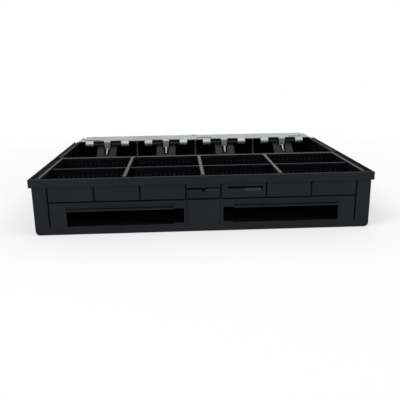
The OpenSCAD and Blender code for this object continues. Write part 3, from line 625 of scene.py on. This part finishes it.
# the ribs share the cup walls' lighter tone, painted light in the shaded cups
RIB = plastic("black plastic with painted tip highlights", tone=(0.0052, 0.0046, 0.0062), flow_tone=(0.0060, 0.0056, 0.0072),
              grain=0.0006, smooth=0.34, rough=0.46, gloss=0.12, edge=0.20, dust=0.015, scuff=0.25,
              # the rib tips are painted grey as highlights
              patches=((TIP_HIGHLIGHTS, (0.0200, 0.0190, 0.0215), 0.40),))
CLIP = plastic("satin black plastic", tone=(0.0070, 0.0074, 0.0088), flow_tone=(0.0100, 0.0105, 0.0122),
               grain=0.0006, smooth=0.36, rough=0.48, gloss=0.13, edge=0.40, dust=0.04, scuff=0.25,
               # the clip hubs are painted lighter as light on them
               patches=((HUB_LIGHT, (0.0400, 0.0410, 0.0440), 0.45),
                        # the side faces of the clip's slot are painted dark as shade
                        (CLIP_SLOT_SHADE, (0.0008, 0.0008, 0.0010), 0.90)))
BAR = zinc_sheet("galvanised sheet",
                 # the tongue fronts are painted darker as shade
                 patches=((TONGUE_SHADE, (0.250, 0.256, 0.258)),
                          # the sheet's front edge is painted darker as shade
                          (SHEET_EDGE_SHADE, (0.100, 0.102, 0.104)),
                          # the walls of the bar's slots are painted dark as shade
                          (SLOT_WALL_SHADE, (0.014, 0.014, 0.015))))
# The rods' near-black tone is partly their black finish and partly painted shade under the bar.
ROD = drawn_metal("blackened steel with painted shade", dark=(0.0040, 0.0042, 0.0046), light=(0.0060, 0.0063, 0.0068),
                  smooth=0.38, rough=0.52, edge_tint=0.02)
WIRE = drawn_metal("bright spring wire", dark=(0.54, 0.55, 0.56), light=(0.70, 0.71, 0.72),
                   smooth=0.12, rough=0.24)
SCREW = drawn_metal("zinc plated screw", dark=(0.34, 0.35, 0.36), light=(0.52, 0.53, 0.54),
                    smooth=0.22, rough=0.38)


# CAD pieces keep their shape and get their finish; only the loose plates get rounded edges
COIN_PLATE_EDGE, NOTE_PLATE_EDGE = 0.0012, 0.0009
JOIN_WITHIN = 0.00001
FLAT_WITHIN, SHARP_FROM = math.radians(0.3), math.radians(35)
EDGE_STEPS = 4
FACE_WEIGHT = 100


def soften(piece, width):
    """Joins a plate's faces along their edges and rounds every sharp edge a little."""
    join = piece.modifiers.new("joined faces", "WELD")
    join.merge_threshold = JOIN_WITHIN
    flat = piece.modifiers.new("whole flat faces", "DECIMATE")
    flat.decimate_type = "DISSOLVE"
    flat.angle_limit = FLAT_WITHIN
    edge = piece.modifiers.new("soft edges", "BEVEL")
    edge.width = width
    edge.segments = EDGE_STEPS
    edge.limit_method = "ANGLE"
    edge.angle_limit = SHARP_FROM
    edge.use_clamp_overlap = True
    shade = piece.modifiers.new("flat faces", "WEIGHTED_NORMAL")
    shade.weight = FACE_WEIGHT
    shade.keep_sharp = False


def dress(name, material, edge=0.0):
    piece = cad[name]
    piece.data.materials.clear()
    piece.data.materials.append(material)
    if edge:
        soften(piece, edge)


dress("outer_tray", TRAY)
dress("coin_tray", COIN)
dress("clip_bar", BAR)
dress("bar_screws", SCREW)
for bay in BAYS:
    dress(f"coin_divider_{bay}", COIN, COIN_PLATE_EDGE)
    dress(f"clip_rod_{bay}", ROD)
    dress(f"note_clip_{bay}", CLIP)
for divider in NOTE_DIVIDERS:
    dress(f"note_divider_{divider}", POST, NOTE_PLATE_EDGE)


# New pieces

def piece_from(name, mesh_parts, material):
    """One object from a filled bmesh, shaded smooth."""
    data = bpy.data.meshes.new(name)
    mesh_parts.to_mesh(data)
    mesh_parts.free()
    data.materials.append(material)
    for face in data.polygons:
        face.use_smooth = True
    piece = bpy.data.objects.new(name, data)
    bpy.context.scene.collection.objects.link(piece)
    return piece


def tube(parts, path, radius, sides):
    """A closed tube along a list of points, with its section carried along without twist."""
    last = len(path) - 1
    across = Vector((1, 0, 0))
    rings = []
    for i, point in enumerate(path):
        along = (path[min(i + 1, last)] - path[max(i - 1, 0)]).normalized()
        across = (across - across.dot(along) * along).normalized()
        beside = along.cross(across)
        rings.append([parts.verts.new(point + radius * (across * math.cos(a) + beside * math.sin(a)))
                      for a in (2 * math.pi * k / sides for k in range(sides))])
    for ring, following in zip(rings, rings[1:]):
        for k in range(sides):
            parts.faces.new((ring[k], ring[(k + 1) % sides], following[(k + 1) % sides], following[k]))
    parts.faces.new(list(reversed(rings[0])))
    parts.faces.new(rings[-1])


# Clip spring: a hook through the tongue's hole, coils, and a hook round the clip's peg
WIRE_R, COIL_R, COIL_PITCH, HOOK_R = 0.35 * MM, 1.25 * MM, 1.25 * MM, 1.75 * MM
TONGUE_HOOK = (4.05 * MM, -6.55 * MM)
PEG = (19.50 * MM, -13.7582 * MM)
COIL_LEAD = 2.2 * MM
HOOK_WRAP, HOOK_STEP = 200, 10
COIL_STEPS, WIRE_SIDES = 24, 10


def across_rod(ahead, up):
    """A point in the plane across a rod, from its distance ahead of the axis and above it."""
    return Vector((0, -ahead, up))


def spring_route():
    """The points that the wire follows, and the middles of its two hooks, all from the clip's axis."""
    start, end = across_rod(*TONGUE_HOOK), across_rod(*PEG)
    length = (end - start).length
    along = (end - start).normalized()
    tilt = math.degrees(math.atan2(PEG[1] - TONGUE_HOOK[1], PEG[0] - TONGUE_HOOK[0]))

    def towards(angle):
        a = math.radians(angle)
        return across_rod(math.cos(a), math.sin(a))

    turns = int((length - 2 * COIL_LEAD) / COIL_PITCH)
    lead = (length - turns * COIL_PITCH) / 2
    out = towards(tilt + 90)
    hook_turns = range(0, HOOK_WRAP + 1, HOOK_STEP)
    route = [start + HOOK_R * towards(tilt + 90 + k) for k in reversed(hook_turns)]
    route.insert(0, route[0] - 2 * WIRE_R * towards(tilt + HOOK_WRAP))
    for i in range(turns * COIL_STEPS + 1):
        turn = 2 * math.pi * i / COIL_STEPS
        route.append(start + along * (lead + COIL_PITCH * i / COIL_STEPS)
                     + out * (HOOK_R - COIL_R + COIL_R * math.cos(turn))
                     + Vector((COIL_R * math.sin(turn), 0, 0)))
    route += [end + HOOK_R * towards(tilt + 90 - k) for k in hook_turns]
    route.append(route[-1] + 2 * WIRE_R * towards(tilt - HOOK_WRAP))
    return route, start, end


def clip_springs():
    pivots = {j["child"]: Vector(j["pos_m"]) for j in frame["joints"] if j["type"] == "hinge"}
    route, start, end = spring_route()
    for bay in BAYS:
        pivot = pivots[f"note_clip_{bay}"]
        parts = bmesh.new()
        tube(parts, [pivot + p for p in route], WIRE_R, WIRE_SIDES)
        spring = piece_from(f"spring_wire_{bay}", parts, WIRE)
        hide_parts(f"clip_spring_{bay}")
        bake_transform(spring)


clip_springs()


# Upright ribs on the walls that face the front of the coin cups; coins slide up on them
RIB_PITCH, RIB_R, RIB_ROOT = 5.9 * MM, 0.75 * MM, 0.3 * MM
RIB_RUN_OUT = ((1.5, 1.0), (0.8, 0.85), (0.3, 0.55), (0.0, 0.05))
WALL_RIB_DROP, PLATE_RIB_DROP = 7.0 * MM, 10.1 * MM
RIB_SIDES = 8
COIN_EDGE_WALL, COVE_R, GUIDE_DEPTH = 2.8 * MM, 14.0 * MM, 0.8 * MM
RIB_END_GAP = 7.0 * MM


def rib(parts, x, face_y, foot, top):
    """Half-round rib that stands out of a wall towards the front and runs out at its rounded top."""
    levels = [(foot, 1.0)] + [(top - drop * RIB_R, size) for drop, size in RIB_RUN_OUT]
    rings = []
    for z, size in levels:
        r = RIB_R * size
        arc = [(math.cos(a), math.sin(a)) for a in (math.pi * k / RIB_SIDES for k in range(RIB_SIDES + 1))]
        ring = [parts.verts.new((x + r * beside, face_y - r * ahead, z)) for beside, ahead in arc]
        ring += [parts.verts.new((root_x, face_y + RIB_ROOT, z)) for root_x in (x - r, x + r)]
        rings.append(ring)
    count = len(rings[0])
    for low, high in zip(rings, rings[1:]):
        for k in range(count):
            parts.faces.new((low[(k + 1) % count], low[k], high[k], high[(k + 1) % count]))
    parts.faces.new(rings[0])
    parts.faces.new(list(reversed(rings[-1])))


def rib_places(low_x, high_x):
    span = high_x - low_x - 2 * RIB_END_GAP
    count = int(span / RIB_PITCH)
    first = (low_x + high_x) / 2 - count * RIB_PITCH / 2
    return [first + i * RIB_PITCH for i in range(count + 1)]


def cup_ribs():
    tray_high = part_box("coin_tray")[1]
    rear_face = tray_high.y - COIN_EDGE_WALL
    wall_rib_top, plate_rib_top = tray_high.z - WALL_RIB_DROP, tray_high.z - PLATE_RIB_DROP
    wall_ribs = bmesh.new()
    for bay in BAYS:
        low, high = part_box(f"coin_divider_{bay}")
        plate_ribs = bmesh.new()
        for x in rib_places(low.x + GUIDE_DEPTH, high.x - GUIDE_DEPTH):
            rib(wall_ribs, x, rear_face, low.z + COVE_R, wall_rib_top)
            rib(plate_ribs, x, low.y, low.z, plate_rib_top)
        piece = piece_from(f"coin_divider_ribs_{bay}", plate_ribs, RIB)
        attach(piece, f"coin_divider_{bay}")
    piece = piece_from("coin_tray_ribs", wall_ribs, RIB)
    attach(piece, "coin_tray")


cup_ribs()


# Pale floor, white surround and soft studio lamps
FLOOR_HALF, FLOOR_DROP = 6.0, 0.0002
PAPER_TONES = (0.90, 0.90, 0.90, 1), (0.94, 0.94, 0.94, 1)
SHADOW_NEAR, SHADOW_FAR, WHITE_NEAR = 0.35, 0.75, 0.45
EVEN_LIGHT = 0.55
LAMP_AIM = Vector((0, 0, 0.03))
LAMPS = (("key_lamp", (-1.0, -0.9, 1.5), 1.2, 16),
         ("fill_lamp", (1.2, -0.4, 1.3), 1.4, 8),
         ("back_lamp", (0.2, 1.3, 1.2), 1.2, 4))


def white_for_the_eye(w):
    """One for rays from the eye, also by way of a reflection, and nought for light on the insert."""
    path = w.add("LightPath").outputs
    seen = w.math("ADD", path["Is Camera Ray"], path["Is Glossy Ray"], clamp=True)
    return w.math("ADD", seen, path["Is Transmission Ray"], clamp=True)


def floor_finish():
    """White paper that keeps the shadow near the insert and runs out into the white surround."""
    material, w, surface = finish_of("white paper", Roughness=0.9, Specular_IOR_Level=0.1)
    fibres = w.noise(w.place(), scale=300.0)
    w.feed(surface.inputs["Base Color"], w.blend(fibres, *PAPER_TONES))
    reach = w.add("VectorMath", operation="LENGTH")
    w.feed(reach.inputs[0], w.place())
    far = w.between(reach.outputs["Value"], SHADOW_NEAR, SHADOW_FAR, WHITE_NEAR, 1.0, smooth=True)
    glow = w.add("Emission")
    mix = w.add("MixShader")
    w.feed(mix.inputs[0], w.math("MULTIPLY", far, white_for_the_eye(w)))
    w.feed(mix.inputs[1], surface.outputs[0])
    w.feed(mix.inputs[2], glow.outputs[0])
    sink = next(n for n in w.tree.nodes if n.type == "OUTPUT_MATERIAL")
    w.feed(sink.inputs["Surface"], mix.outputs[0])
    return material


def lay_floor():
    parts = bmesh.new()
    bmesh.ops.create_grid(parts, x_segments=2, y_segments=2, size=FLOOR_HALF)
    data = bpy.data.meshes.new("paper_floor")
    parts.to_mesh(data)
    parts.free()
    data.materials.append(floor_finish())
    floor = bpy.data.objects.new("paper_floor", data)
    floor.location.z = cad_low.z - FLOOR_DROP
    bpy.context.scene.collection.objects.link(floor)


def surround():
    """White all round for the eye and in reflections, and a softer even light on the insert."""
    world = bpy.data.worlds.new("white surround")
    bpy.context.scene.world = world
    world.use_nodes = True
    w = Wiring(world.node_tree)
    sky = next(n for n in w.tree.nodes if n.type == "BACKGROUND")
    sky.inputs["Color"].default_value = (1, 1, 1, 1)
    w.feed(sky.inputs["Strength"], w.between(white_for_the_eye(w), 0.0, 1.0, EVEN_LIGHT, 1.0))


def hang_lamps():
    for name, place, size, watts in LAMPS:
        data = bpy.data.lights.new(name, "AREA")
        data.shape = "DISK"
        data.size = size
        data.energy = watts
        light = bpy.data.objects.new(name, data)
        light.location = place
        light.rotation_euler = (LAMP_AIM - Vector(place)).to_track_quat("-Z", "Y").to_euler()
        bpy.context.scene.collection.objects.link(light)


lay_floor()
surround()
hang_lamps()

bpy.context.scene.view_settings.view_transform = "Standard"
